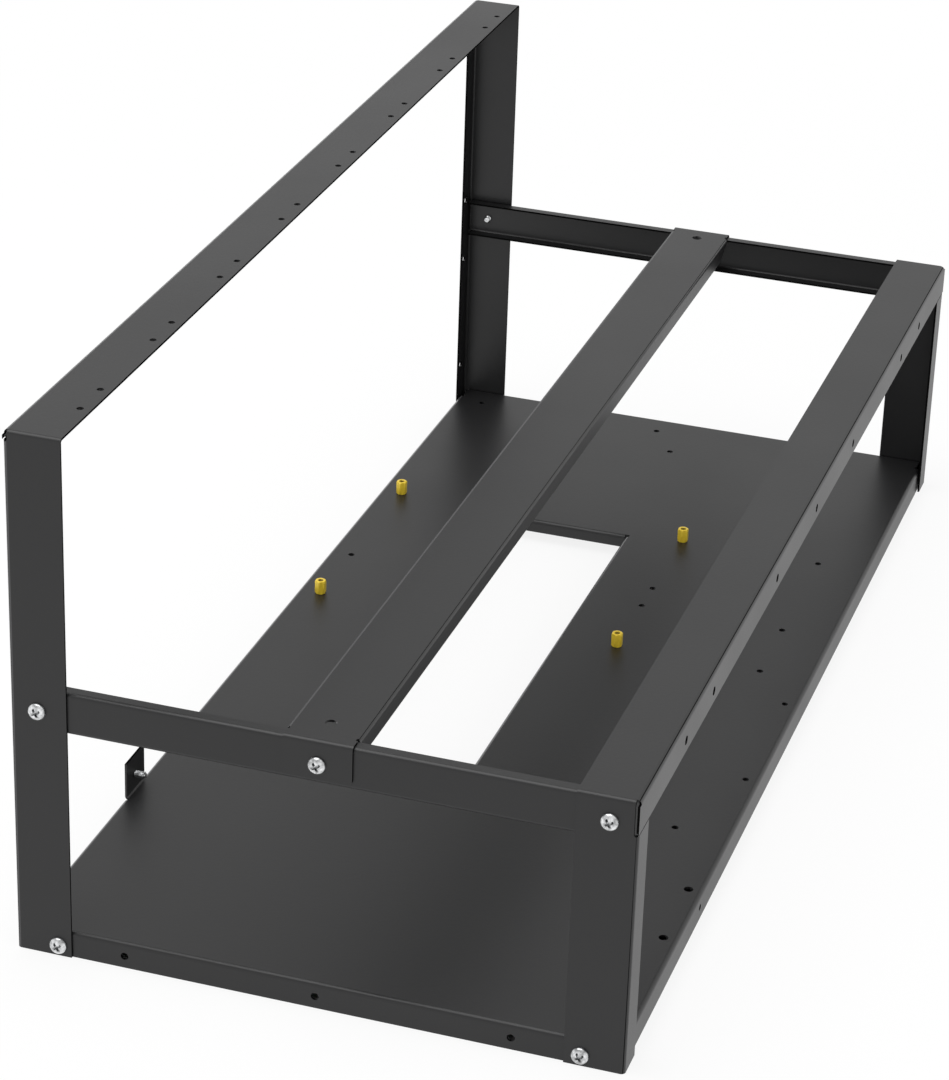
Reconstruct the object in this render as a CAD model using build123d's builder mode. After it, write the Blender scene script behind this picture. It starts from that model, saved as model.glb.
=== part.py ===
"""Open steel frame for a mainboard, a power supply and a row of graphics cards.

Six folded sheets make it: a tray, a tall rear hoop, a low front hoop, two side rails
and a crossbar. Ten screws join them, four standoffs carry the mainboard and one screw
stands in the tray's rear tab.

X runs along the frame, +Y points to its tall rear side and +Z up. The origin is on
the floor, in the middle of the length and the depth. Sizes are in millimetres.
"""

import os

from build123d import *

# Overall sizes, over the folded sheets
length = 603.0
depth = 268.0
rear_height = 241.0
front_height = 127.5

# Sheet and folds
sheet = 1.0
bend_radius = 1.0  # inside of every fold
fit_gap = 0.2  # between an edge and the fold it stops at
seam_gap = 0.5  # between two flanges of one sheet that meet at a corner
relief_radius = 1.0  # round reliefs at the ends of the folds

# Rear hoop: wide face, and its edge folded into the rear plane
rear_web = 25.0
rear_beam_flange = 15.0
rear_corner_flange = 4.0  # depth of that flange over the posts
post_flange = 12.0

# Front hoop: wide face, and its edge folded into the front plane
front_web = 26.0
front_beam_flange = 15.0
leg_flange = 15.0

# Hole pairs for card brackets, along the rear hoop's beam
card_pairs = 8
card_hole_spacing = 20.32
card_hole_radius = 1.5
card_collar_wall = 0.7  # of the collar drawn down around each hole, for its thread
card_collar_depth = 1.2
card_row_inset = 20.2  # from the rear plane
card_row_shift = 2.9  # of the row's middle, along X

# Power-supply holes in the posts' rear flanges
psu_hole_radius = 2.1
psu_hole_inset = 8.6  # from the end faces
psu_hole_heights = (29.5, 93.5, 128.0)

# Holes in the front hoop's beam flange: pairs about a shifted middle, and one there
fan_hole_radius = 2.0
fan_hole_drop = 9.4  # below the beam's top
fan_hole_reaches = (77.0, 188.7, 233.4)
fan_row_shift = 2.6

# Side rails: C-channels, web outward
rail_height = 19.0
rail_flange = 6.0

# Crossbar: inverted channel that lies on the rails, with a strap folded down outside
crossbar_width = 31.4
crossbar_flange = 9.0
crossbar_rail_gap = 0.3  # between its side flanges and the rails' flanges
crossbar_slant = 13.0  # how far a side flange's end leans inward
strap_width = 30.0
strap_drop = 17.5
strap_corner = 2.0
crossbar_hole_radius = 2.5
crossbar_hole_reach = 287.2
crossbar_hole_shift = 1.9

# Tray
tray_height = 12.0
tray_front_setback = 1.6  # of its front flange behind the front plane
tray_rear_setback = 2.0
tray_fold_inset = 10.0  # of the front and rear flanges from the tray's ends

# Opening in the tray, with a lip folded down along each edge
opening_length = 290.5
opening_width = 70.0
opening_right_inset = 151.0  # from the frame's right end
opening_rear_inset = 69.0  # from the rear plane
lip_depth = 6.5
lip_gap = 0.3  # at each end of a lip

# Mainboard holes in the tray: steps from the right rear one
board_right_inset = 145.0  # from the frame's right end
board_rear_inset = 13.5  # from the rear plane
board_column_steps = (0.0, 78.74, 124.46, 281.94)
board_row_steps = (0.0, 154.94, 227.33)
board_extra_step = 20.32  # of the one extra hole in the middle row
board_hole_radius = 1.6

# Other holes in the tray, each (x, y, radius)
tray_edge_inset = 8.0  # of the front row from the front plane
tray_front_row = ((-215.1, 2.1), (-173.8, 2.1), (-72.4, 1.5), (4.1, 1.5))
tray_right_column_inset = 16.0  # from the tray's end
tray_right_column = (116.9, 14.9)
tray_right_hole_radius = 1.6
tray_single_hole = (260.9, 0.8)
end_hole_radius = 1.75
end_hole_reach = 85.2
end_hole_height = 5.6
front_flange_hole = (-177.3, 6.2)
front_flange_hole_radius = 1.5

# Power-supply tab, folded up from the tray's rear edge
tab_inset = 111.5  # from the frame's left end
tab_width = 20.0
tab_height = 29.5
tab_side_gap = 1.2
tab_hole_height = 19.5

# Joint screws
screw_radius = 1.95
screw_length = 4.0
head_radius = 4.0
head_height = 2.4
head_chamfer = 1.2
recess_width = 0.9
recess_span = 4.4
recess_depth = 1.3
thread_gap = 0.05  # radial, in a tapped hole
clearance = 0.25  # radial, in a plain hole
hoop_screw_inset = 12.0  # from the front and rear planes
rail_screw_drop = 10.0  # below the rails' top
foot_screw_inset = 19.0
foot_screw_height = 5.0

# Power-supply screw
psu_screw_radius = 1.7
psu_screw_length = 6.0
psu_head_radius = 3.4
psu_head_height = 2.0
psu_head_chamfer = 0.9

# Standoffs
standoff_flats = 5.0
standoff_height = 7.0
standoff_chamfer = 0.3
standoff_thread_radius = 1.25
standoff_thread_depth = 5.0
stud_radius = 1.45
stud_length = 4.0

# Places that follow from the sizes above
outer_bend = bend_radius + sheet
tray_end = length / 2 - sheet
tray_top = tray_height
rail_top = front_height - sheet
rail_bottom = rail_top - rail_height
rail_face = length / 2 - sheet
rail_end = depth / 2 - outer_bend - fit_gap
crossbar_top = rail_top + sheet
screw_hole = screw_radius + clearance
tapped_hole = screw_radius + thread_gap
rail_screw_z = rail_top - rail_screw_drop
hoop_screw_y = depth / 2 - hoop_screw_inset
foot_screw_y = depth / 2 - foot_screw_inset
tray_front = -depth / 2 + tray_front_setback
tray_rear = depth / 2 - tray_rear_setback
card_pitch = length / card_pairs
opening_right = length / 2 - opening_right_inset
opening_left = opening_right - opening_length
opening_rear = depth / 2 - opening_rear_inset
opening_front = opening_rear - opening_width
board_right = length / 2 - board_right_inset
board_rear = depth / 2 - board_rear_inset
tab_left = -length / 2 + tab_inset
tab_right = tab_left + tab_width


def folded(plane, *corners):
    """Section of a folded sheet on a plane.

    The corners are those of its outer face, in the order that keeps the sheet on the
    right-hand side. Each inner corner becomes a bend.
    """
    with BuildSketch(plane) as section:
        with BuildLine():
            face = FilletPolyline(*corners, radius=outer_bend)
            offset(face, amount=sheet, side=Side.RIGHT, closed=True)
        make_face()
    return section.sketch


def end_holes(places, radius):
    """Cuts holes along X through the end faces of the part being built, at (y, z)."""
    for side in (-1, 1):
        with BuildSketch(Plane.YZ.offset(side * length / 2)) as holes:
            with Locations(*places):
                Circle(radius)
        extrude(holes.sketch, amount=outer_bend + sheet / 2, both=True, mode=Mode.SUBTRACT)


def front_holes(places, radius, near, far):
    """Cuts holes along Y at (x, z), from the plane y = near to the plane y = far."""
    with BuildSketch(Plane.XZ.offset(-far)) as holes:
        with Locations(*places):
            Circle(radius)
    extrude(holes.sketch, amount=far - near, mode=Mode.SUBTRACT)


def top_holes(places, radius, top, thickness=sheet):
    """Cuts holes at (x, y) through the sheet whose upper face is at z = top."""
    with BuildSketch(Plane.XY.offset(top - thickness - sheet / 2)) as holes:
        with Locations(*places):
            Circle(radius)
    extrude(holes.sketch, amount=thickness + sheet, mode=Mode.SUBTRACT)


def hoop(height, web, beam_flange, side_flange, corner_flange):
    """An inverted U of one sheet, with its outer long edge folded into the front plane.

    The beam's flange runs the full length, and the side flanges stop under it. Over them
    it is as deep as the corner flange. Between the beam's flange and each side face the
    corner stays open, down to a round relief.
    """
    front = -depth / 2
    seam = height - corner_flange
    end = length / 2
    with BuildPart() as part:
        # Beam and side faces, up to the fold line
        extrude(
            folded(
                Plane.XZ.offset(-front - web),
                (-end, 0),
                (-end, height),
                (end, height),
                (end, 0),
            ),
            amount=web - outer_bend,
        )
        # Fold along the beam, and its flange over the full length
        extrude(
            folded(Plane.YZ, (front, seam), (front, height), (front + web, height)),
            amount=end - outer_bend,
            both=True,
        )
        with BuildSketch(Plane.XZ.offset(-front - sheet)):
            with Locations((0, (seam + height - outer_bend) / 2)):
                Rectangle(length, corner_flange - outer_bend)
            if corner_flange < beam_flange:
                with Locations((0, height - beam_flange / 2 - outer_bend / 2)):
                    Rectangle(2 * (end - side_flange - seam_gap), beam_flange - outer_bend)
        extrude(amount=sheet)
        # Folds along both sides
        extrude(
            folded(
                Plane.XY,
                (-end + side_flange, front),
                (-end, front),
                (-end, front + web),
            ),
            amount=seam - seam_gap,
        )
        mirror(about=Plane.YZ)
        end_holes([(front + sheet, seam)], relief_radius)
    return part.part


def side_rail(side):
    """C-channel between the hoops at one end; side is -1 or 1."""
    with BuildPart() as rail:
        extrude(
            folded(
                Plane.XZ.offset(-rail_end),
                (-rail_face + rail_flange, rail_bottom),
                (-rail_face, rail_bottom),
                (-rail_face, rail_top),
                (-rail_face + rail_flange, rail_top),
            ),
            amount=2 * rail_end,
        )
        end_holes(
            [(y, rail_screw_z) for y in (-hoop_screw_y, 0, hoop_screw_y)],
            tapped_hole,
        )
        if side > 0:
            mirror(about=Plane.YZ, mode=Mode.REPLACE)
    return rail.part


def pan_head_screw(seat, radius, shank, head, height, head_edge):
    """Screw with its head on the seat plane, chamfered at the rim, and its shank behind it."""
    with BuildPart() as screw:
        with BuildSketch(seat):
            Circle(head)
        extrude(amount=height)
        chamfer(screw.faces().sort_by(Axis(seat.origin, seat.z_dir))[-1].edges(), head_edge)
        with BuildSketch(seat):
            Circle(radius)
        extrude(amount=-shank)
        with BuildSketch(seat.offset(height)):
            Rectangle(recess_span, recess_width)
            Rectangle(recess_width, recess_span)
        extrude(amount=-recess_depth, mode=Mode.SUBTRACT)
    return screw.part


# Rear hoop, made at the front and mirrored to the rear
card_places = [
    (
        card_row_shift + (pair - (card_pairs - 1) / 2) * card_pitch + half * card_hole_spacing,
        depth / 2 - card_row_inset,
    )
    for pair in range(card_pairs)
    for half in (-0.5, 0.5)
]
with BuildPart() as rear_frame:
    add(hoop(rear_height, rear_web, rear_beam_flange, post_flange, rear_corner_flange))
    mirror(about=Plane.XZ, mode=Mode.REPLACE)
    end_holes([(hoop_screw_y, rail_screw_z), (foot_screw_y, foot_screw_height)], screw_hole)
    # Card holes, each with a collar drawn down from the sheet
    with BuildSketch(Plane.XY.offset(rear_height - sheet)):
        with Locations(*card_places):
            Circle(card_hole_radius + card_collar_wall)
    extrude(amount=-card_collar_depth)
    top_holes(card_places, card_hole_radius, rear_height, sheet + card_collar_depth)
    front_holes(
        [
            (side * (length / 2 - psu_hole_inset), z)
            for side in (-1, 1)
            for z in psu_hole_heights
        ],
        psu_hole_radius,
        depth / 2 - outer_bend,
        depth / 2 + sheet,
    )

# Front hoop
with BuildPart() as front_frame:
    add(hoop(front_height, front_web, front_beam_flange, leg_flange, front_beam_flange))
    end_holes([(-hoop_screw_y, rail_screw_z), (-foot_screw_y, foot_screw_height)], screw_hole)
    front_holes(
        [
            (fan_row_shift + side * reach, front_height - fan_hole_drop)
            for reach in fan_hole_reaches
            for side in (-1, 1)
        ]
        + [(fan_row_shift, front_height - fan_hole_drop)],
        fan_hole_radius,
        -depth / 2 - sheet,
        -depth / 2 + outer_bend,
    )

# Crossbar
side_flange_end = rail_face - rail_flange - crossbar_rail_gap
flange_bottom = crossbar_top - crossbar_flange
with BuildPart() as crossbar:
    # Strap over both rails, folded down outside them
    extrude(
        folded(
            Plane.XZ.offset(-strap_width / 2),
            (-length / 2, crossbar_top - strap_drop),
            (-length / 2, crossbar_top),
            (length / 2, crossbar_top),
            (length / 2, crossbar_top - strap_drop),
        ),
        amount=strap_width,
    )
    fillet(
        crossbar.edges().filter_by(Axis.X).group_by(Axis.Z)[0],
        strap_corner,
    )
    # Side flanges between the rails
    extrude(
        folded(
            Plane.YZ,
            (-crossbar_width / 2, flange_bottom),
            (-crossbar_width / 2, crossbar_top),
            (crossbar_width / 2, crossbar_top),
            (crossbar_width / 2, flange_bottom),
        ),
        amount=side_flange_end,
        both=True,
    )
    # Slanted ends of the side flanges
    with BuildSketch(Plane.XZ):
        for side in (-1, 1):
            with BuildLine():
                Polyline(
                    (side * (side_flange_end - crossbar_slant), flange_bottom),
                    (side * side_flange_end, crossbar_top - outer_bend),
                    (side * side_flange_end, flange_bottom),
                    close=True,
                )
            make_face()
    extrude(amount=crossbar_width, both=True, mode=Mode.SUBTRACT)
    # Reliefs where the side folds end, screw holes and top holes
    top_holes(
        [
            (x, y)
            for x in (-side_flange_end - relief_radius / 2, side_flange_end + relief_radius / 2)
            for y in (-strap_width / 2, strap_width / 2)
        ],
        relief_radius,
        crossbar_top,
    )
    end_holes([(0, rail_screw_z)], screw_hole)
    top_holes(
        [
            (crossbar_hole_shift - crossbar_hole_reach, 0),
            (crossbar_hole_shift + crossbar_hole_reach, 0),
        ],
        crossbar_hole_radius,
        crossbar_top,
    )

# Tray
flat_front = tray_front + outer_bend
flat_rear = tray_rear - outer_bend
fold_end = tray_end - tray_fold_inset
opening_middle = ((opening_left + opening_right) / 2, (opening_front + opening_rear) / 2)
board_columns = [board_right - step for step in board_column_steps]
board_rows = [board_rear - step for step in board_row_steps]
standoff_places = [
    (board_columns[0], board_rows[0]),
    (board_columns[2], board_rows[0]),
    (board_columns[0], board_rows[1]),
    (board_columns[2], board_rows[1]),
]
board_holes = [(x, y) for x in board_columns for y in board_rows if (x, y) not in standoff_places]
with BuildPart() as base_tray:
    # Top with both end flanges
    extrude(
        folded(
            Plane.XZ.offset(-flat_rear),
            (-tray_end, 0),
            (-tray_end, tray_top),
            (tray_end, tray_top),
            (tray_end, 0),
        ),
        amount=flat_rear - flat_front,
    )
    # Front flange
    extrude(
        folded(
            Plane.YZ,
            (tray_front, 0),
            (tray_front, tray_top),
            (flat_front + sheet, tray_top),
        ),
        amount=fold_end,
        both=True,
    )
    # Rear flange, left and right of the tab
    for start, stop in ((-fold_end, tab_left - tab_side_gap), (tab_right + tab_side_gap, fold_end)):
        extrude(
            folded(
                Plane.YZ.offset(start),
                (flat_rear - sheet, tray_top),
                (tray_rear, tray_top),
                (tray_rear, 0),
            ),
            amount=stop - start,
        )
    # Tab, folded up
    extrude(
        folded(
            Plane.YZ.offset(tab_left),
            (tray_rear, tab_height),
            (tray_rear, tray_top - sheet),
            (flat_rear - sheet, tray_top - sheet),
        ),
        amount=tab_width,
    )
    # Opening, cut to where the lips' folds start
    with BuildSketch(Plane.XY):
        with Locations(opening_middle):
            Rectangle(opening_length + 2 * outer_bend, opening_width + 2 * outer_bend)
    extrude(amount=tray_height, mode=Mode.SUBTRACT)
    # Lips along the long edges
    for y, step in ((opening_front, -1), (opening_rear, 1)):
        line = [(y + step * (outer_bend + sheet), tray_top), (y, tray_top), (y, tray_top - lip_depth)]
        extrude(
            folded(
                Plane.YZ.offset(opening_middle[0]),
                *(line if step < 0 else reversed(line)),
            ),
            amount=opening_length / 2 - lip_gap,
            both=True,
        )
    # Lips along the short edges
    for x, step in ((opening_left, -1), (opening_right, 1)):
        line = [(x + step * (outer_bend + sheet), tray_top), (x, tray_top), (x, tray_top - lip_depth)]
        extrude(
            folded(
                Plane.XZ.offset(-opening_middle[1]),
                *(line if step < 0 else reversed(line)),
            ),
            amount=opening_width / 2 - lip_gap,
            both=True,
        )
    # Reliefs at the ends of the front and rear folds
    top_holes(
        [(side * fold_end, y) for side in (-1, 1) for y in (flat_front, flat_rear)],
        relief_radius,
        tray_top,
    )
    # Mainboard holes
    top_holes(board_holes, board_hole_radius, tray_top)
    top_holes([(board_columns[1] + board_extra_step, board_rows[1])], board_hole_radius, tray_top)
    top_holes(standoff_places, stud_radius + thread_gap, tray_top)
    # Cable-tie and accessory holes
    for x, radius in tray_front_row:
        top_holes([(x, -depth / 2 + tray_edge_inset)], radius, tray_top)
    top_holes(
        [(tray_end - tray_right_column_inset, y) for y in tray_right_column] + [tray_single_hole],
        tray_right_hole_radius,
        tray_top,
    )
    end_holes(
        [(y, end_hole_height) for y in (-end_hole_reach, 0, end_hole_reach)],
        end_hole_radius,
    )
    front_holes(
        [front_flange_hole],
        front_flange_hole_radius,
        tray_front - sheet,
        tray_front + outer_bend,
    )
    # Screw holes: tapped in the end flanges, plain in the tab
    end_holes([(y, foot_screw_height) for y in (-foot_screw_y, foot_screw_y)], tapped_hole)
    front_holes(
        [((tab_left + tab_right) / 2, tab_hole_height)],
        psu_screw_radius + thread_gap,
        tray_rear - outer_bend,
        tray_rear + sheet,
    )

pieces = {
    "base_tray": base_tray.part,
    "rear_frame": rear_frame.part,
    "front_frame": front_frame.part,
    "side_rail_left": side_rail(-1),
    "side_rail_right": side_rail(1),
    "crossbar": crossbar.part,
}

# Standoffs: hexagonal, with a stud in the tray and a tapped hole at the top
for number, place in enumerate(standoff_places, start=1):
    with BuildPart() as standoff:
        with BuildSketch(Plane.XY.offset(tray_top)):
            with Locations(place):
                RegularPolygon(standoff_flats / 2, 6, major_radius=False)
        extrude(amount=standoff_height)
        chamfer(standoff.edges().group_by(Axis.Z)[-1], standoff_chamfer)
        with BuildSketch(Plane.XY.offset(tray_top)):
            with Locations(place):
                Circle(stud_radius)
        extrude(amount=-stud_length)
        with BuildSketch(Plane.XY.offset(tray_top + standoff_height)):
            with Locations(place):
                Circle(standoff_thread_radius)
        extrude(amount=-standoff_thread_depth, mode=Mode.SUBTRACT)
    pieces[f"standoff_{number}"] = standoff.part

# Joint screws, the same five at each end
screw_places = {
    "rear_top": (hoop_screw_y, rail_screw_z),
    "crossbar": (0, rail_screw_z),
    "front_top": (-hoop_screw_y, rail_screw_z),
    "rear_foot": (foot_screw_y, foot_screw_height),
    "front_foot": (-foot_screw_y, foot_screw_height),
}
for end_name, side in (("left", -1), ("right", 1)):
    for place_name, (y, z) in screw_places.items():
        pieces[f"screw_{end_name}_{place_name}"] = pan_head_screw(
            Plane(origin=(side * length / 2, y, z), x_dir=(0, 1, 0), z_dir=(side, 0, 0)),
            screw_radius,
            screw_length,
            head_radius,
            head_height,
            head_chamfer,
        )

# Power-supply screw, its head behind the tab
pieces["psu_screw"] = pan_head_screw(
    Plane(
        origin=((tab_left + tab_right) / 2, tray_rear, tab_hole_height),
        x_dir=(1, 0, 0),
        z_dir=(0, 1, 0),
    ),
    psu_screw_radius,
    psu_screw_length,
    psu_head_radius,
    psu_head_height,
    psu_head_chamfer,
)

os.makedirs("parts", exist_ok=True)
for name, piece in pieces.items():
    piece.label = name
    export_step(piece, f"parts/{name}.step")
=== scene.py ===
"""Finishes, fasteners and studio for an open folded-steel frame for graphics cards.

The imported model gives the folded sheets. They keep their shape and get a procedural
powder coat. The screws and standoffs are replaced by detailed ones with recesses and
threads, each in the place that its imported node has.

X runs along the frame, +Y points to its tall rear side and +Z up. All is in metres.
"""

import math

import bpy
import numpy as np
from bpy.props import FloatProperty, FloatVectorProperty, PointerProperty
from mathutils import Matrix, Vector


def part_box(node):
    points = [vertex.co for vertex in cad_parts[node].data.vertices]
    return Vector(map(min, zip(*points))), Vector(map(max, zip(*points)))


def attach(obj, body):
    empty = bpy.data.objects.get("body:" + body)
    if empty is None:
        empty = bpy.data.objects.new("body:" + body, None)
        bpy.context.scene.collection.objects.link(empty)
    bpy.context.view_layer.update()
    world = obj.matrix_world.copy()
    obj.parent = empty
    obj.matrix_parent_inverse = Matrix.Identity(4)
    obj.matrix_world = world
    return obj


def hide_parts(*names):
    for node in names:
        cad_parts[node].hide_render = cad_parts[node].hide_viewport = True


bl_info = {
    "name": "Graphics card frame",
    "version": (1, 0, 0),
    "blender": (4, 5, 0),
    "location": "3D View > Sidebar > Card frame",
    "description": "Powder coat, screws, standoffs and studio for a folded-steel frame",
    "category": "Object",
}

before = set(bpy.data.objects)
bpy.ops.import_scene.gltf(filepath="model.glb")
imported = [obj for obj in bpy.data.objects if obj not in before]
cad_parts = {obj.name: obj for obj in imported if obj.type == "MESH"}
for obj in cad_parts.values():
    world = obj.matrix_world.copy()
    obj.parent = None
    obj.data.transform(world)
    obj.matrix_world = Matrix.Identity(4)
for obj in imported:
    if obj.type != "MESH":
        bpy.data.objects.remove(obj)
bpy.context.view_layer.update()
MM = 0.001
WHITE = (1.0, 1.0, 1.0, 1.0)
BLACK = (0.0, 0.0, 0.0, 1.0)
# The floor that shows through the tray's opening, along X and Y
OPENING = (-0.14, 0.165, -0.01, 0.085)
# Cosines: below the first for all three axes a surface is a fold, above the second to +Y
# a fold turns to the rear, and above the third for one axis a surface faces along it
FOLD_FACING = 0.995
REAR_FACING = 0.1
EDGE_FACING = 0.8
# Fasteners are shaded smooth where two faces meet at less than this angle
SMOOTH_ANGLE = math.radians(38)
# The camera's sensor in millimetres, and how near it begins to see, in metres
SENSOR_WIDTH = 36.0
CLIP_START = 0.05

SHEETS = (
    "base_tray",
    "rear_frame",
    "front_frame",
    "side_rail_left",
    "side_rail_right",
    "crossbar",
)
STANDOFFS = [f"standoff_{number}" for number in (1, 2, 3, 4)]
# How far each screw was turned when it was driven home, in degrees
SCREW_TURNS = {
    "screw_left_rear_top": 28,
    "screw_left_crossbar": 31,
    "screw_left_front_top": 27,
    "screw_left_rear_foot": 33,
    "screw_left_front_foot": 29,
    "screw_right_rear_top": 24,
    "screw_right_crossbar": 71,
    "screw_right_front_top": 9,
    "screw_right_rear_foot": 33,
    "screw_right_front_foot": 62,
}
TAB_SCREW_TURN = 20


class Value:
    """A number socket that takes part in Python expressions, each adding a Math node."""

    def __init__(self, finish, socket):
        self.finish = finish
        self.socket = socket

    def maths(self, operation, *values):
        """One Math node on these values, with its result as a new value."""
        return self.finish.node(
            "ShaderNodeMath", {"operation": operation}, dict(enumerate(values))
        )

    def __add__(self, other):
        return self.maths("ADD", self, other)

    __radd__ = __add__

    def __sub__(self, other):
        return self.maths("SUBTRACT", self, other)

    def __rsub__(self, other):
        return self.maths("SUBTRACT", other, self)

    def __mul__(self, other):
        return self.maths("MULTIPLY", self, other)

    __rmul__ = __mul__

    def __truediv__(self, other):
        return self.maths("DIVIDE", self, other)

    def __abs__(self):
        return self.maths("ABSOLUTE", self)

    def __lt__(self, other):
        return self.maths("LESS_THAN", self, other)

    def __gt__(self, other):
        return self.maths("GREATER_THAN", self, other)

    def __or__(self, other):
        return self.maths("MAXIMUM", self, other)


class Finish:
    """A material or world under construction, as a tree of shader nodes."""

    def __init__(self, owner):
        owner.use_nodes = True
        self.tree = owner.node_tree
        self.tree.nodes.clear()

    def node(self, kind, settings=None, inputs=None, output=0):
        """Adds a node: its settings first, then the values or links of its sockets.

        Inputs and the output are given by socket name or number. The result is that
        output.
        """
        made = self.tree.nodes.new(kind)
        for name, value in (settings or {}).items():
            setattr(made, name, value)
        for name, value in (inputs or {}).items():
            if isinstance(value, Value):
                self.tree.links.new(value.socket, made.inputs[name])
            else:
                made.inputs[name].default_value = value
        return Value(self, made.outputs[output]) if made.outputs else None

    def place(self):
        """Object coordinates, which are metres along the frame's own axes."""
        return self.node("ShaderNodeTexCoord", output="Object")

    def axes(self, vector):
        """X, Y and Z of a vector, as three values."""
        split = self.node("ShaderNodeSeparateXYZ", None, {"Vector": vector})
        return [Value(self, split.socket.node.outputs[k]) for k in range(3)]

    def noise(self, place, size, detail=2.0, roughness=0.5):
        """Noise about 0.5 whose blotches are about this size, in metres."""
        return self.node(
            "ShaderNodeTexNoise",
            {"noise_dimensions": "3D"},
            {"Vector": place, "Scale": 1.0 / size, "Detail": detail, "Roughness": roughness},
        )

    def blend(self, factor, first, second):
        """Colour that goes from the first to the second as the factor goes from 0 to 1."""
        # Sockets 0, 6 and 7 are the factor and the two colours, and 2 is the colour out
        return self.node(
            "ShaderNodeMix", {"data_type": "RGBA"}, {0: factor, 6: first, 7: second}, 2
        )

    def mix(self, factor, first, second):
        """Shader that goes from the first to the second as the factor goes from 0 to 1."""
        return self.node("ShaderNodeMixShader", None, {0: factor, 1: first, 2: second})

    def seen(self):
        """1 where the camera or a reflection sees the surface, and 0 where light does."""
        path = self.node("ShaderNodeLightPath").socket.node.outputs
        kinds = ("Camera", "Glossy", "Transmission")
        camera, glossy, transmission = (Value(self, path[f"Is {kind} Ray"]) for kind in kinds)
        return camera | glossy | transmission

    def close(self, shader, kind="ShaderNodeOutputMaterial"):
        """Links a shader to the tree's output."""
        self.node(kind, None, {"Surface": shader})


def rgba(colour):
    """A colour property as the four numbers that a colour socket takes."""
    return (*colour, 1.0)


def powder_coat(name, settings, edges, painted_highlights):
    """Matte powder coat with a fine orange peel, smooth folds and thin dark cut edges.

    Two noises make the peel and the grain in its bottom, and a third the slow clouds. A
    fold is where the surface faces along no axis. The coat is smoother there, where hands
    rub it, and on the folds that turn to the rear it is smoothest and painted a lighter
    grey, a painted highlight. Edges are (faces, axis, plane, reach), in metres: where the
    surface faces along the first axis and lies within reach of the plane across the
    second, it is a cut edge, which is painted black without gloss as painted shade. The
    last argument holds the same and how far from the middle it runs along X, for places
    that get the same painted highlight as the rear folds.
    """
    material = bpy.data.materials.new(name)
    finish = Finish(material)
    place = finish.place()
    peel = finish.noise(place, settings.peel_size, detail=1.0)
    grain = finish.noise(place, settings.grain_size, detail=3.0, roughness=0.6)
    cloud = finish.noise(place, settings.cloud_size)
    tone = (cloud - 0.5) * settings.cloud_strength + (grain - 0.5) * settings.grain_strength
    twice = tuple(2 * channel for channel in settings.coat_colour)
    paint = finish.blend(0.5 + 0.5 * tone, BLACK, rgba(twice))

    where = finish.axes(place)
    normal = finish.axes(finish.node("ShaderNodeNewGeometry", output="True Normal"))
    facing = [abs(part) for part in normal]
    fold = (facing[0] | facing[1] | facing[2]) < FOLD_FACING
    # Painted highlight: the folds that turn to the rear and the places given get a lighter grey
    # and a smoother coat
    worn = fold * (normal[1] > REAR_FACING)
    for faces, axis, plane, reach, run in painted_highlights:
        near = (abs(where[axis] - plane) < reach) * (abs(where[0]) < run)
        worn = worn | near * (facing[faces] > EDGE_FACING)
    # The painted highlight's lighter grey over the coat
    paint = finish.blend(worn, paint, rgba(settings.painted_highlight_colour))
    # Painted shade: the cut edges are painted black without gloss
    cut = None
    for faces, axis, plane, reach in edges:
        on_edge = (abs(where[axis] - plane) < reach) * (facing[faces] > EDGE_FACING)
        cut = on_edge if cut is None else cut | on_edge
    roughness = (
        settings.coat_roughness
        + (cloud - 0.5) * settings.cloud_gloss
        + (grain - 0.5) * settings.grain_gloss
        + fold * (settings.fold_roughness - settings.coat_roughness)
        + worn * (settings.highlight_roughness - settings.fold_roughness)
    )
    waves = finish.node(
        "ShaderNodeBump",
        None,
        {
            "Strength": 1.0,
            "Distance": settings.peel_depth,
            "Height": peel + grain * settings.grain_depth,
        },
    )
    coat = finish.node(
        "ShaderNodeBsdfPrincipled",
        None,
        {
            "Base Color": paint,
            "Roughness": roughness,
            "IOR": settings.coat_ior,
            "Normal": waves,
        },
    )
    # Painted shade: a near-black coat without gloss for the cut edges
    shaded_edge = finish.node(
        "ShaderNodeBsdfPrincipled",
        None,
        {
            "Base Color": rgba(settings.edge_shade_colour),
            "Roughness": settings.edge_roughness,
            "Specular IOR Level": 0.0,
        },
    )
    finish.close(finish.mix(cut, coat, shaded_edge))
    return material


def turned_metal(name, colour, roughness, grain, wear, metallic):
    """Plated or turned metal: fine grain and worn patches in its colour, gloss and surface.

    The piece's own recess attribute, from 0 to 1, darkens the colour in recesses as
    painted shade.
    """
    patch_size = 5 * grain
    patch_contrast = 3.0
    gloss_change = 0.2
    scratch_strength = 0.6
    scratch_depth = 0.02 * grain
    shade_share = 0.06  # of the colour, which is left where the recess shade is painted
    material = bpy.data.materials.new(name)
    finish = Finish(material)
    place = finish.place()
    fine = finish.noise(place, grain, detail=3.0, roughness=0.6)
    patch = (finish.noise(place, patch_size) - 0.5) * patch_contrast + 0.5
    # Painted shade in recesses, from the piece's own attribute
    recess_shade = finish.node("ShaderNodeAttribute", {"attribute_name": "recess_shade"}, output="Fac")
    duller = tuple(channel * (1 - wear) for channel in colour)
    recess_shade_colour = tuple(channel * shade_share for channel in colour)
    plating = finish.blend(patch, rgba(duller), rgba(colour))
    scratched = finish.node(
        "ShaderNodeBump",
        None,
        {"Strength": scratch_strength, "Distance": scratch_depth, "Height": fine},
    )
    metal = finish.node(
        "ShaderNodeBsdfPrincipled",
        None,
        {
            "Base Color": finish.blend(recess_shade, plating, rgba(recess_shade_colour)),
            "Metallic": metallic,
            "Roughness": roughness + (fine - 0.5) * gloss_change,
            "Normal": scratched,
        },
    )
    finish.close(metal)
    return material


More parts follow.
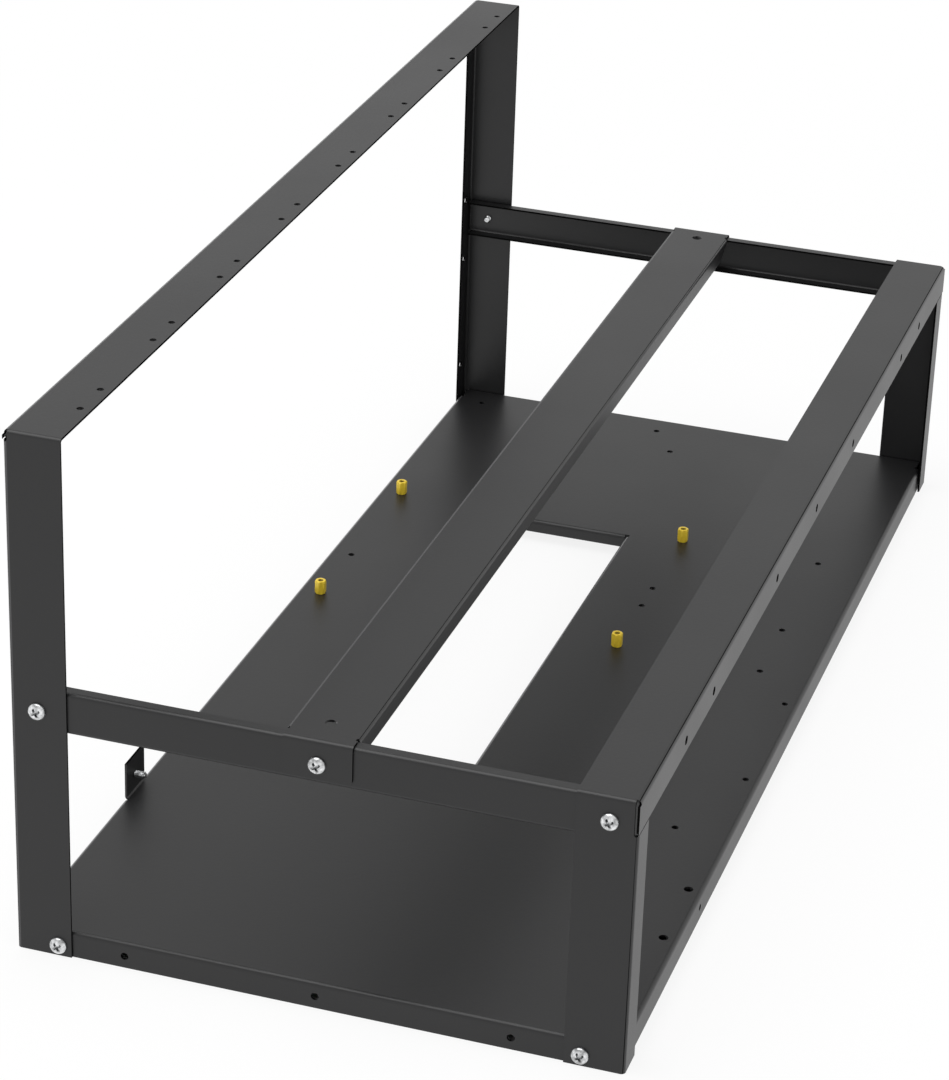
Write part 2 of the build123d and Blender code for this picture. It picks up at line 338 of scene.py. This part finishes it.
def make_object(name, points, quads, triangles, recess_shade):
    """Object at the origin from points in metres, shaded smooth up to SMOOTH_ANGLE.

    The recess shade is one number a point, for the attribute that paints shade into recesses.
    """
    mesh = bpy.data.meshes.new(name)
    corners = np.concatenate([quads.ravel(), triangles.ravel()]).astype(np.int32)
    sides = np.concatenate([np.full(len(quads), 4), np.full(len(triangles), 3)])
    starts = np.concatenate([[0], np.cumsum(sides)[:-1]]).astype(np.int32)
    mesh.vertices.add(len(points))
    mesh.vertices.foreach_set("co", points.astype(np.float32).ravel())
    mesh.loops.add(len(corners))
    mesh.loops.foreach_set("vertex_index", corners)
    mesh.polygons.add(len(sides))
    mesh.polygons.foreach_set("loop_start", starts)
    mesh.update(calc_edges=True)
    mesh.validate()
    shade = mesh.attributes.new("recess_shade", "FLOAT", "POINT")
    shade.data.foreach_set("value", recess_shade.astype(np.float32))
    made = bpy.data.objects.new(name, mesh)
    bpy.context.scene.collection.objects.link(made)
    mesh.shade_smooth()
    mesh.set_sharp_from_angle(angle=SMOOTH_ANGLE)
    return made


def ring_points(ring_radius, angle, height):
    """Points of rings about Z, at (radius cos(angle), radius sin(angle), height)."""
    return np.stack(
        [
            ring_radius * np.cos(angle),
            ring_radius * np.sin(angle),
            np.broadcast_to(height, ring_radius.shape),
        ],
        -1,
    ).reshape(-1, 3)


def ring_quads(first, rings, around):
    """Quads between rings of vertices, numbered ring by ring from the first one on."""
    ring, step = np.meshgrid(np.arange(rings - 1), np.arange(around), indexing="ij")
    here = first + ring * around + step
    beside = first + ring * around + (step + 1) % around
    return np.stack([here, beside, beside + around, here + around], -1).reshape(-1, 4)


def end_fan(centre, ring, around):
    """Triangles from a centre vertex to a ring that starts at a vertex number."""
    step = np.arange(around)
    return np.stack([np.full(around, centre), ring + (step + 1) % around, ring + step], -1)


def thread_wave(height, angle, pitch):
    """Ridge of a screw thread, 0 in its root and 1 on its crest.

    It is a triangle wave of height / pitch - angle / 360 degrees with its tips cut off,
    so that the ridge climbs one pitch in each turn.
    """
    slope = 1.3
    root = 0.12
    turn = height / pitch - angle / (2 * math.pi)
    ridge = np.abs(2 * (turn - np.floor(turn)) - 1)
    return np.clip(slope * ridge - root, 0.0, 1.0)


def pan_head_screw(head_radius, head_height, radius, length, settings):
    """Points, faces and painted shade of a screw about Z with its head on z = 0, in metres.

    The middle of the head is a square grid in (u, v) from -1 to 1, drawn out to a disc by
    x = u sqrt(1 - v²/2) and y = v sqrt(1 - u²/2). Its height is that of a superellipse,
    h (1 - rho^n)^(1/n), less the cross recess: the smaller of the recess's depth, the rise
    of a wall across each arm and the slope along it, and the deeper of the two arms.
    The rest is rings about the axis: the head's rim, its underside, the shank with its
    thread, and a bevelled tip that is closed by a fan.
    """
    power = settings.dome_power
    pitch = settings.screw_pitch
    share = 0.84  # of the head's radius that the grid covers
    arm = settings.recess_width / 2 / (share * head_radius)
    reach = settings.recess_span / 2 / (share * head_radius)
    foot = 0.55 * arm  # half an arm's width at the recess's bottom
    slope_run = 0.62 * reach  # from an arm's tip to where it is deepest
    bright, dark = 0.1875, 0.8125  # shares of the reach between which an arm's painted shade grows
    side_top, side_foot = 0.12 * head_height, 0.04 * head_height
    under_radius = 0.97 * head_radius
    bevel = 0.35 * radius
    thread_depth = 0.55 * pitch
    rings_a_pitch = 7

    # Half the grid's lines, which are close together at an arm's walls and at its tip
    half = np.concatenate(
        [
            [0, foot / 2, foot, arm, 1.18 * arm],
            np.linspace(1.6 * arm, reach, 6),
            [reach + 0.03],
            np.linspace(reach + 0.1, 1, 6),
        ]
    )
    line = np.concatenate([-half[:0:-1], half])
    count = len(line)
    u, v = np.meshgrid(line, line, indexing="ij")
    x = u * np.sqrt(1 - v**2 / 2)
    y = v * np.sqrt(1 - u**2 / 2)
    rho = np.hypot(x, y) * share
    dome = head_height * (1 - rho**power) ** (1 / power)

    def arm_depth(along, across):
        wall = np.clip((arm - np.abs(across)) / (arm - foot), 0, 1)
        slope = np.clip((reach - np.abs(along)) / slope_run, 0, 1)
        return settings.recess_depth * wall * slope

    recess = np.maximum(arm_depth(u, v), arm_depth(v, u))
    top = np.stack([x * share * head_radius, y * share * head_radius, dome - recess], -1)
    cell = np.arange(count * count).reshape(count, count)
    grid = np.stack(
        [cell[:-1, :-1], cell[1:, :-1], cell[1:, 1:], cell[:-1, 1:]], -1
    ).reshape(-1, 4)
    # The grid's border, once round against the clock
    border = np.concatenate(
        [cell[:-1, 0], cell[-1, :-1], cell[:0:-1, -1], cell[0, :0:-1]]
    )
    angle = np.arctan2(y.ravel()[border], x.ravel()[border])
    around = len(border)

    # Rim of the head, as the rest of the superellipse, with an upright side below it
    start = math.asin(share ** (power / 2))
    bend = np.linspace(start, math.pi / 2, 9)[1:]
    rim_radius = head_radius * np.sin(bend) ** (2 / power)
    rim_height = head_height * np.cos(bend) ** (2 / power)
    rim = np.stack([rim_radius, rim_height], -1)
    rim[-1] = head_radius, side_top
    steps = int(round((length - bevel) / pitch * rings_a_pitch))
    shank = np.linspace(0.0, -(length - bevel), steps)
    profile = np.concatenate(
        [
            rim,
            [[head_radius, side_foot], [under_radius, 0.0]],
            np.stack([np.full(steps, radius), shank], -1),
            [[radius - bevel, -length]],
        ]
    )
    cut = np.zeros((len(profile), 1))
    cut[-steps - 1 : -1] = thread_depth
    height = profile[:, 1:]
    ring_radius = profile[:, :1] - cut * (1 - thread_wave(height, angle, pitch))
    rings = ring_points(ring_radius, angle, height)
    points = np.concatenate([top.reshape(-1, 3), rings, [[0, 0, -length]]])

    first = count * count
    last = first + (len(profile) - 1) * around
    seam_here = first + np.arange(around)
    seam = np.stack(
        [border, seam_here, np.roll(seam_here, -1), np.roll(border, -1)], -1
    )
    quads = np.concatenate(
        [grid, seam, ring_quads(first, len(profile), around)[:, ::-1]]
    )
    # Painted shade: the arms are dark and the recess's middle, which faces outwards, is left
    # bright
    outer = np.interp(np.hypot(u, v) / reach, (bright, dark), (0.0, 1.0))
    recess_shade = np.zeros(len(points))
    recess_shade[:first] = (np.sqrt(recess / settings.recess_depth) * outer).ravel()
    return points, quads, end_fan(len(points) - 1, last, around), recess_shade


def hex_standoff(flats, low, floor, top, settings):
    """Points, faces and painted shade of a threaded hexagonal standoff about Z, in metres.

    Its section at each height is the smaller of two radii: that of the hexagon,
    (flats / 2) / cos(angle to the nearest flat), and that of the turned shape, which
    gives the cones at both ends of the hexagon, the stud below it and the threaded hole.
    The profile runs from the hole's bottom up, over the top, down the outside and to
    the stud's tip.
    """
    pitch = settings.standoff_pitch
    hole = settings.standoff_hole
    stud = settings.standoff_stud
    depth = settings.standoff_hole_depth
    cone = settings.standoff_cone
    side = flats / 2
    corner = flats / math.sqrt(3)
    ridge = 0.5 * pitch
    mouth_bevel, tip_bevel = 0.3 * pitch, 0.4 * pitch
    top_in, top_down = 0.35 * cone, 0.2 * cone  # the small bevel round the top
    foot_in, foot_up = 0.2 * cone, 0.1 * cone  # and the one round the foot
    drill_tip = 0.2 * hole
    # Painted shade in the threaded hole: half on its wall and full at its bottom
    wall_shade, bottom_shade = 0.5, 1.0
    rings_a_pitch = 6
    around = 72

    angle = np.arange(around) * 2 * math.pi / around
    # Corners lie on the X axis, so the nearest flat is 30 degrees on
    flat_angle = (angle + math.pi / 6) % (math.pi / 3) - math.pi / 6
    hexagon = side / np.cos(math.pi / 6 - np.abs(flat_angle))
    hole_steps = int(round((depth - ridge) / pitch * rings_a_pitch))
    stud_steps = int(round((floor - low) / pitch * rings_a_pitch))
    inside = np.linspace(top - depth, top - mouth_bevel, hole_steps)
    outside = np.linspace(floor, low + tip_bevel, stud_steps)
    profile = np.concatenate(
        [
            np.stack([np.full(hole_steps, hole), inside], -1),
            [[hole + ridge, top], [side - top_in, top], [side, top - top_down]],
            [[corner, top - cone], [corner, floor + cone], [side, floor + foot_up]],
            [[side - foot_in, floor]],
            np.stack([np.full(stud_steps, stud), outside], -1),
            [[stud - ridge, low]],
        ]
    )
    outward = np.zeros((len(profile), 1))
    outward[:hole_steps] = ridge
    inward = np.zeros((len(profile), 1))
    inward[-stud_steps - 1 : -1] = ridge
    height = profile[:, 1:]
    wave = thread_wave(height, angle, pitch)
    turned = np.minimum(hexagon, profile[:, :1])
    ring_radius = turned + outward * wave - inward * (1 - wave)
    rings = ring_points(ring_radius, angle, height)
    points = np.concatenate([rings, [[0, 0, top - depth - drill_tip], [0, 0, low]]])

    last = (len(profile) - 1) * around
    bottom = end_fan(len(points) - 2, 0, around)[:, ::-1]
    tip = end_fan(len(points) - 1, last, around)
    recess_shade = np.zeros(len(points))
    recess_shade[: hole_steps * around] = wall_shade
    recess_shade[-2] = bottom_shade
    quads = ring_quads(0, len(profile), around)[:, ::-1]
    return points, quads, np.concatenate([bottom, tip]), recess_shade


def placed(points, origin, axis, turn):
    """Points turned about Z by an angle, then Z laid along an axis, then moved.

    Without a turn, the piece's X lies along +Y, or along -X where the axis is Y itself.
    """
    cos, sin = math.cos(turn), math.sin(turn)
    z = np.array(axis, float)
    x = np.array([-1.0, 0.0, 0.0] if z[1] else [0.0, 1.0, 0.0])
    y = np.cross(z, x)
    basis = np.stack([cos * x + sin * y, cos * y - sin * x, z])
    return points @ basis + np.array(origin)


def add_piece(node, shape, material):
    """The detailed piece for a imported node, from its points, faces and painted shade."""
    made = make_object(f"{node}_detail", *shape)
    made.data.materials.append(material)
    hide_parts(node)
    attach(made, "root")


def drive_screw(node, along, outward, size, turn, sizes, zinc):
    """Detailed screw in the place of a packed one, turned by so many degrees.

    Along is the number of its axis, 0 for X and 1 for Y, and outward is 1 or -1, the way
    that its head points. Size is the head's height and the thread's radius.
    """
    head_height, radius = size
    low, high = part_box(node)
    across = 1 - along
    head_radius = (high[across] - low[across]) / 2
    length = high[along] - low[along] - head_height
    seat = (low + high) / 2
    seat[along] = (high if outward > 0 else low)[along] - outward * head_height
    axis = [0, 0, 0]
    axis[along] = outward
    points, *rest = pan_head_screw(head_radius, head_height, radius, length, sizes)
    points = placed(points, seat, axis, math.radians(turn))
    add_piece(node, (points, *rest), zinc)


class FinishSettings(bpy.types.PropertyGroup):
    """Colours and grain of the finishes."""

    coat_colour: FloatVectorProperty(
        name="Coat", description="Powder coat", subtype="COLOR", default=(0.0095, 0.0095, 0.01)
    )
    coat_roughness: FloatProperty(
        name="Coat roughness", description="Of the powder coat", default=0.4, min=0.0, max=1.0
    )
    fold_roughness: FloatProperty(
        name="Fold roughness",
        description="Of the coat on the folds",
        default=0.34,
        min=0.0,
        max=1.0,
    )
    # Painted highlight: the lighter grey of the rear folds and the crossbar's rear edge, which
    # stands in for the light they catch
    painted_highlight_colour: FloatVectorProperty(
        name="Worn coat",
        description="Coat on the rear folds",
        subtype="COLOR",
        default=(0.055, 0.055, 0.057),
    )
    highlight_roughness: FloatProperty(
        name="Worn roughness",
        description="Of the coat on the rear folds",
        default=0.2,
        min=0.0,
        max=1.0,
    )
    # Width and half length of the painted highlight along the crossbar's rear edge
    highlight_width: FloatProperty(
        name="Worn width",
        description="Of the worn edge of the crossbar",
        unit="LENGTH",
        default=0.8 * MM,
    )
    highlight_run: FloatProperty(
        name="Worn run",
        description="Half the length of that edge",
        unit="LENGTH",
        default=293.5 * MM,
    )
    coat_ior: FloatProperty(
        name="Coat index", description="Refraction index of the powder coat", default=1.495
    )
    peel_size: FloatProperty(
        name="Peel size",
        description="Distance between the coat's waves",
        unit="LENGTH",
        default=1.6 * MM,
    )
    peel_depth: FloatProperty(
        name="Peel depth",
        description="Height of the coat's waves",
        unit="LENGTH",
        default=0.025 * MM,
    )
    grain_size: FloatProperty(
        name="Grain size",
        description="Of the fine powder grain",
        unit="LENGTH",
        default=0.45 * MM,
    )
    grain_strength: FloatProperty(
        name="Grain strength", description="How much the grain changes the tone", default=0.5
    )
    cloud_size: FloatProperty(
        name="Cloud size", description="Of slow changes in tone", unit="LENGTH", default=70 * MM
    )
    cloud_strength: FloatProperty(
        name="Cloud strength", description="How much the tone changes slowly", default=0.25
    )
    cloud_gloss: FloatProperty(
        name="Cloud gloss", description="How much the roughness changes slowly", default=0.1
    )
    grain_gloss: FloatProperty(
        name="Grain gloss", description="How much the grain changes the roughness", default=0.12
    )
    grain_depth: FloatProperty(
        name="Grain depth",
        description="Of the grain, as a share of the waves' height",
        default=0.35,
    )
    # Painted shade: the near-black colour of the cut edges, which stands in for their shade
    edge_shade_colour: FloatVectorProperty(
        name="Cut edge",
        description="Thin coat on the cut edges",
        subtype="COLOR",
        default=(0.004, 0.004, 0.004),
    )
    edge_roughness: FloatProperty(
        name="Edge roughness", description="Of the cut edges", default=0.8, min=0.0, max=1.0
    )
    sheet: FloatProperty(
        name="Sheet",
        description="Thickness of the folded sheets",
        unit="LENGTH",
        default=1.0 * MM,
    )
    crossbar_flange: FloatProperty(
        name="Crossbar flange",
        description="Depth of the crossbar's sides",
        unit="LENGTH",
        default=9.0 * MM,
    )
    strap_width: FloatProperty(
        name="Strap width",
        description="Of the crossbar's ends",
        unit="LENGTH",
        default=30.0 * MM,
    )
    zinc_colour: FloatVectorProperty(
        name="Zinc",
        description="Zinc plate of the screws",
        subtype="COLOR",
        default=(0.86, 0.87, 0.88),
    )
    zinc_roughness: FloatProperty(
        name="Zinc roughness", description="Of the screws", default=0.2, min=0.0, max=1.0
    )
    zinc_grain: FloatProperty(
        name="Zinc grain",
        description="Size of its fine grain",
        unit="LENGTH",
        default=0.35 * MM,
    )
    zinc_wear: FloatProperty(
        name="Zinc wear",
        description="How much darker it is where worn",
        default=0.6,
        min=0.0,
        max=1.0,
    )
    zinc_metallic: FloatProperty(
        name="Zinc metallic",
        description="Share that reflects as metal",
        default=1.0,
        min=0.0,
        max=1.0,
    )
    brass_colour: FloatVectorProperty(
        name="Brass",
        description="Of the standoffs",
        subtype="COLOR",
        default=(0.98, 0.7, 0.045),
    )
    brass_roughness: FloatProperty(
        name="Brass roughness", description="Of the standoffs", default=0.34, min=0.0, max=1.0
    )
    brass_grain: FloatProperty(
        name="Brass grain",
        description="Size of its fine grain",
        unit="LENGTH",
        default=0.3 * MM,
    )
    brass_wear: FloatProperty(
        name="Brass wear",
        description="How much darker it is where worn",
        default=0.08,
        min=0.0,
        max=1.0,
    )
    brass_metallic: FloatProperty(
        name="Brass metallic",
        description="Share that reflects as metal",
        default=0.1,
        min=0.0,
        max=1.0,
    )


class FastenerSettings(bpy.types.PropertyGroup):
    """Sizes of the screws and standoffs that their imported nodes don't give."""

    head_height: FloatProperty(
        name="Head height", description="Of the joint screws", unit="LENGTH", default=2.4 * MM
    )
    psu_head_height: FloatProperty(
        name="Tab screw's head",
        description="Head height of the screw in the tab",
        unit="LENGTH",
        default=2.0 * MM,
    )
    dome_power: FloatProperty(
        name="Dome power", description="Power of the head's superellipse", default=2.3, min=2.0
    )
    recess_width: FloatProperty(
        name="Recess width",
        description="Width of the recess's arms",
        unit="LENGTH",
        default=1.2 * MM,
    )
    recess_span: FloatProperty(
        name="Recess span",
        description="Across the recess's arms",
        unit="LENGTH",
        default=4.6 * MM,
    )
    recess_depth: FloatProperty(
        name="Recess depth", description="At its middle", unit="LENGTH", default=1.6 * MM
    )
    screw_radius: FloatProperty(
        name="Screw radius",
        description="Thread of the joint screws",
        unit="LENGTH",
        default=1.95 * MM,
    )
    psu_screw_radius: FloatProperty(
        name="Tab screw's radius",
        description="Thread of the screw in the tab",
        unit="LENGTH",
        default=1.7 * MM,
    )
    screw_pitch: FloatProperty(
        name="Screw pitch",
        description="Of the screws' threads",
        unit="LENGTH",
        default=0.7 * MM,
    )
    standoff_pitch: FloatProperty(
        name="Standoff pitch",
        description="Of the standoffs' threads",
        unit="LENGTH",
        default=0.5 * MM,
    )
    standoff_hole: FloatProperty(
        name="Standoff hole",
        description="Core radius of its threaded hole",
        unit="LENGTH",
        default=1.25 * MM,
    )
    standoff_hole_depth: FloatProperty(
        name="Hole depth",
        description="Of the standoff's threaded hole",
        unit="LENGTH",
        default=5.0 * MM,
    )
    standoff_stud: FloatProperty(
        name="Standoff stud", description="Radius of its stud", unit="LENGTH", default=1.45 * MM
    )
    standoff_height: FloatProperty(
        name="Standoff height", description="Of its hexagon", unit="LENGTH", default=7.0 * MM
    )
    standoff_cone: FloatProperty(
        name="Standoff bevel",
        description="Height of the bevel on its corners",
        unit="LENGTH",
        default=0.4 * MM,
    )


class StageSettings(bpy.types.PropertyGroup):
    """Floor, light and camera."""

    floor_half: FloatProperty(
        name="Floor", description="Half the floor's side", unit="LENGTH", default=4.0
    )
    floor_colour: FloatVectorProperty(
        name="Floor colour",
        description="Of the floor",
        subtype="COLOR",
        default=(0.95, 0.95, 0.95),
    )
    shadow_share: FloatProperty(
        name="Shadow",
        description="Share of its shadow that the open floor keeps",
        default=0.15,
        min=0.0,
        max=1.0,
    )
    shadow_reach: FloatProperty(
        name="Shadow reach",
        description="How far the floor keeps it",
        unit="LENGTH",
        default=1.0,
    )
    backdrop_top: FloatProperty(
        name="Backdrop",
        description="Sine of the height at which the white backdrop ends",
        default=0.42,
    )
    backdrop_fade: FloatProperty(
        name="Backdrop fade",
        description="Below it, over which the backdrop fades",
        default=0.12,
    )
    sky: FloatProperty(name="Sky", description="Strength of the even light", default=0.74)
    key_power: FloatProperty(
        name="Key light", description="Soft light from above", default=24.0, subtype="POWER"
    )
    key_place: FloatVectorProperty(
        name="Key place",
        description="Of the key light",
        subtype="TRANSLATION",
        default=(-0.3, 0.5, 2.2),
    )
    key_side: FloatProperty(
        name="Key side", description="Side of the square key light", unit="LENGTH", default=1.8
    )
    camera_place: FloatVectorProperty(
        name="Camera",
        description="Place of the camera",
        subtype="TRANSLATION",
        default=(-1.46008, -0.42101, 0.82784),
    )
    camera_turn: FloatVectorProperty(
        name="Camera turn",
        description="Turn of the camera about X, Y and Z",
        subtype="EULER",
        default=tuple(math.radians(a) for a in (63.6890, -1.7846, -71.9319)),
    )
    camera_lens: FloatProperty(
        name="Lens",
        description="Focal length in millimetres, on a 36 mm sensor",
        default=118.25,
    )


class FrameSettings(bpy.types.PropertyGroup):
    """All settings of the frame's looks."""

    finish: PointerProperty(type=FinishSettings)
    fasteners: PointerProperty(type=FastenerSettings)
    stage: PointerProperty(type=StageSettings)


def cut_edges(node, settings):
    """A sheet's cut edges as (faces, axis, plane, reach), from its box.

    A hoop's flange lies within the sheet's thickness of its outer plane, and all that
    faces along X or Z there is cut.
    """
    low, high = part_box(node)
    sheet = settings.sheet
    skin = 0.52 * sheet  # half the thickness and a little over
    thin = 0.15 * sheet  # a little, so that it takes in the edge alone
    rail_edges = [(1, 1, low.y, thin), (1, 1, high.y, thin)]
    inner = {
        "rear_frame": [
            (1, 1, low.y, thin),
            (0, 1, high.y - sheet / 2, skin),
            (2, 1, high.y - sheet / 2, skin),
        ],
        "front_frame": [
            (1, 1, high.y, thin),
            (0, 1, low.y + sheet / 2, skin),
            (2, 1, low.y + sheet / 2, skin),
        ],
        "side_rail_left": [(0, 0, high.x, thin), *rail_edges],
        "side_rail_right": [(0, 0, low.x, thin), *rail_edges],
        "crossbar": [
            (2, 2, high.z - settings.crossbar_flange, thin),
            (1, 1, -settings.strap_width / 2, thin),
        ],
        "base_tray": [(2, 2, high.z, thin)],
    }
    return [*inner[node], (2, 2, low.z, thin)]


def painted_highlight_places(node, settings):
    """Places of the painted highlight as (faces, axis, plane, reach, run): the crossbar's rear
    edge.
    """
    if node != "crossbar":
        return []
    half = settings.highlight_width / 2
    return [(2, 1, settings.strap_width / 2 - half, half, settings.highlight_run)]


def kept_shadow(finish, settings):
    """How much of its shadow the floor keeps.

    All of it under the closed parts of the tray, and elsewhere a share that falls off
    with the square of the distance, down to none at the shadow's reach.
    """
    x, y, _ = finish.axes(finish.place())
    far = (x * x + y * y) / settings.shadow_reach**2
    low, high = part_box("base_tray")
    covered = (x > low.x) * (x < high.x) * (y > low.y) * (y < high.y)
    left, right, front, rear = OPENING
    opening = (x > left) * (x < right) * (y > front) * (y < rear)
    return covered * (1 - opening) | settings.shadow_share * (1 - far) | 0.0


def add_floor(scene, settings):
    """Floor that light finds pale, and the camera white but for the frame's shadow."""
    half = settings.floor_half
    corners = [(-half, -half, 0), (half, -half, 0), (half, half, 0), (-half, half, 0)]
    mesh = bpy.data.meshes.new("floor")
    mesh.from_pydata(corners, [], [(0, 1, 2, 3)])
    floor = bpy.data.objects.new("floor", mesh)
    scene.collection.objects.link(floor)

    pale = bpy.data.materials.new("floor")
    finish = Finish(pale)
    colour = rgba(settings.floor_colour)
    diffuse = finish.node("ShaderNodeBsdfDiffuse", None, {"Color": colour})
    white = finish.node("ShaderNodeEmission", None, {"Color": WHITE, "Strength": 1.0})
    shadowed = finish.mix(kept_shadow(finish, settings), white, diffuse)
    finish.close(finish.mix(finish.seen(), diffuse, shadowed))
    mesh.materials.append(pale)


def add_world(scene, settings):
    """Even light, with a white backdrop that ends softly at a height above the horizon."""
    world = bpy.data.worlds.new("studio")
    scene.world = world
    sky = Finish(world)
    light = sky.node("ShaderNodeBackground", None, {"Color": WHITE, "Strength": settings.sky})
    backdrop = sky.node("ShaderNodeBackground", None, {"Color": WHITE, "Strength": 1.0})
    # In a world these are the direction that is seen, so the third is its height's sine
    height = sky.axes(sky.node("ShaderNodeTexCoord", output="Generated"))[2]
    below = sky.node(
        "ShaderNodeMath",
        {"operation": "DIVIDE", "use_clamp": True},
        {0: settings.backdrop_top - height, 1: settings.backdrop_fade},
    )
    sky.close(sky.mix(sky.seen() * below, light, backdrop), "ShaderNodeOutputWorld")


def add_key_light(scene, settings):
    """Large soft light from above that points at the frame."""
    lamp = bpy.data.lights.new("key", "AREA")
    lamp.energy = settings.key_power
    lamp.size = settings.key_side
    key = bpy.data.objects.new("key", lamp)
    scene.collection.objects.link(key)
    key.location = settings.key_place
    key.rotation_euler = (-key.location).to_track_quat("-Z", "Y").to_euler()


def add_camera(scene, settings):
    """The camera, at the photograph's viewing angle."""
    lens = bpy.data.cameras.new("camera")
    lens.lens = settings.camera_lens
    lens.sensor_width = SENSOR_WIDTH
    lens.clip_start = CLIP_START
    camera = bpy.data.objects.new("camera", lens)
    scene.collection.objects.link(camera)
    camera.location = settings.camera_place
    camera.rotation_euler = settings.camera_turn
    scene.camera = camera


class CARDFRAME_OT_coat_sheets(bpy.types.Operator):
    """Powder coat on the six folded sheets"""

    bl_idname = "card_frame.coat_sheets"
    bl_label = "Coat the sheets"

    def execute(self, context):
        settings = context.scene.card_frame.finish
        for node in SHEETS:
            coat = powder_coat(
                f"powder_coat_{node}",
                settings,
                cut_edges(node, settings),
                painted_highlight_places(node, settings),
            )
            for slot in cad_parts[node].material_slots:
                slot.material = coat
        return {"FINISHED"}


class CARDFRAME_OT_drive_screws(bpy.types.Operator):
    """The ten joint screws and the screw in the tray's tab"""

    bl_idname = "card_frame.drive_screws"
    bl_label = "Drive the screws"

    def execute(self, context):
        settings = context.scene.card_frame.finish
        sizes = context.scene.card_frame.fasteners
        zinc = turned_metal(
            "zinc",
            settings.zinc_colour,
            settings.zinc_roughness,
            settings.zinc_grain,
            settings.zinc_wear,
            settings.zinc_metallic,
        )
        joint_size = (sizes.head_height, sizes.screw_radius)
        for node, turn in SCREW_TURNS.items():
            outward = -1 if "left" in node else 1
            drive_screw(node, 0, outward, joint_size, turn, sizes, zinc)
        tab_size = (sizes.psu_head_height, sizes.psu_screw_radius)
        drive_screw("psu_screw", 1, 1, tab_size, TAB_SCREW_TURN, sizes, zinc)
        return {"FINISHED"}


class CARDFRAME_OT_set_standoffs(bpy.types.Operator):
    """The four brass standoffs for the mainboard"""

    bl_idname = "card_frame.set_standoffs"
    bl_label = "Set the standoffs"

    def execute(self, context):
        settings = context.scene.card_frame.finish
        sizes = context.scene.card_frame.fasteners
        brass = turned_metal(
            "brass",
            settings.brass_colour,
            settings.brass_roughness,
            settings.brass_grain,
            settings.brass_wear,
            settings.brass_metallic,
        )
        for node in STANDOFFS:
            low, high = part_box(node)
            middle = (low + high) / 2
            floor = high.z - sizes.standoff_height
            points, *rest = hex_standoff(high.y - low.y, low.z, floor, high.z, sizes)
            points = points + np.array([middle.x, middle.y, 0.0])
            add_piece(node, (points, *rest), brass)
        return {"FINISHED"}


class CARDFRAME_OT_build_stage(bpy.types.Operator):
    """White floor, soft light and the camera"""

    bl_idname = "card_frame.build_stage"
    bl_label = "Build the stage"

    def execute(self, context):
        scene = context.scene
        settings = scene.card_frame.stage
        for add in (add_floor, add_world, add_key_light, add_camera):
            add(scene, settings)
        scene.view_settings.view_transform = "Standard"
        return {"FINISHED"}


class CARDFRAME_PT_panel(bpy.types.Panel):
    """The frame's steps and settings in the sidebar"""

    bl_idname = "CARDFRAME_PT_panel"
    bl_label = "Card frame"
    bl_space_type = "VIEW_3D"
    bl_region_type = "UI"
    bl_category = "Card frame"

    def draw(self, context):
        settings = context.scene.card_frame
        for group, operators in (
            (settings.finish, (CARDFRAME_OT_coat_sheets,)),
            (settings.fasteners, (CARDFRAME_OT_drive_screws, CARDFRAME_OT_set_standoffs)),
            (settings.stage, (CARDFRAME_OT_build_stage,)),
        ):
            column = self.layout.column()
            for name in group.bl_rna.properties.keys():
                if name not in ("rna_type", "name"):
                    column.prop(group, name)
            for operator in operators:
                column.operator(operator.bl_idname)


CLASSES = (
    FinishSettings,
    FastenerSettings,
    StageSettings,
    FrameSettings,
    CARDFRAME_OT_coat_sheets,
    CARDFRAME_OT_drive_screws,
    CARDFRAME_OT_set_standoffs,
    CARDFRAME_OT_build_stage,
    CARDFRAME_PT_panel,
)


def register():
    """Adds the classes and the scene's settings."""
    for cls in CLASSES:
        bpy.utils.register_class(cls)
    bpy.types.Scene.card_frame = PointerProperty(type=FrameSettings)


def unregister():
    """Takes the settings and the classes away again."""
    del bpy.types.Scene.card_frame
    for cls in reversed(CLASSES):
        bpy.utils.unregister_class(cls)


def main():
    """Runs every step in order."""
    register()
    bpy.ops.card_frame.build_stage()
    bpy.ops.card_frame.coat_sheets()
    bpy.ops.card_frame.drive_screws()
    bpy.ops.card_frame.set_standoffs()


if __name__ == "__main__":
    main()
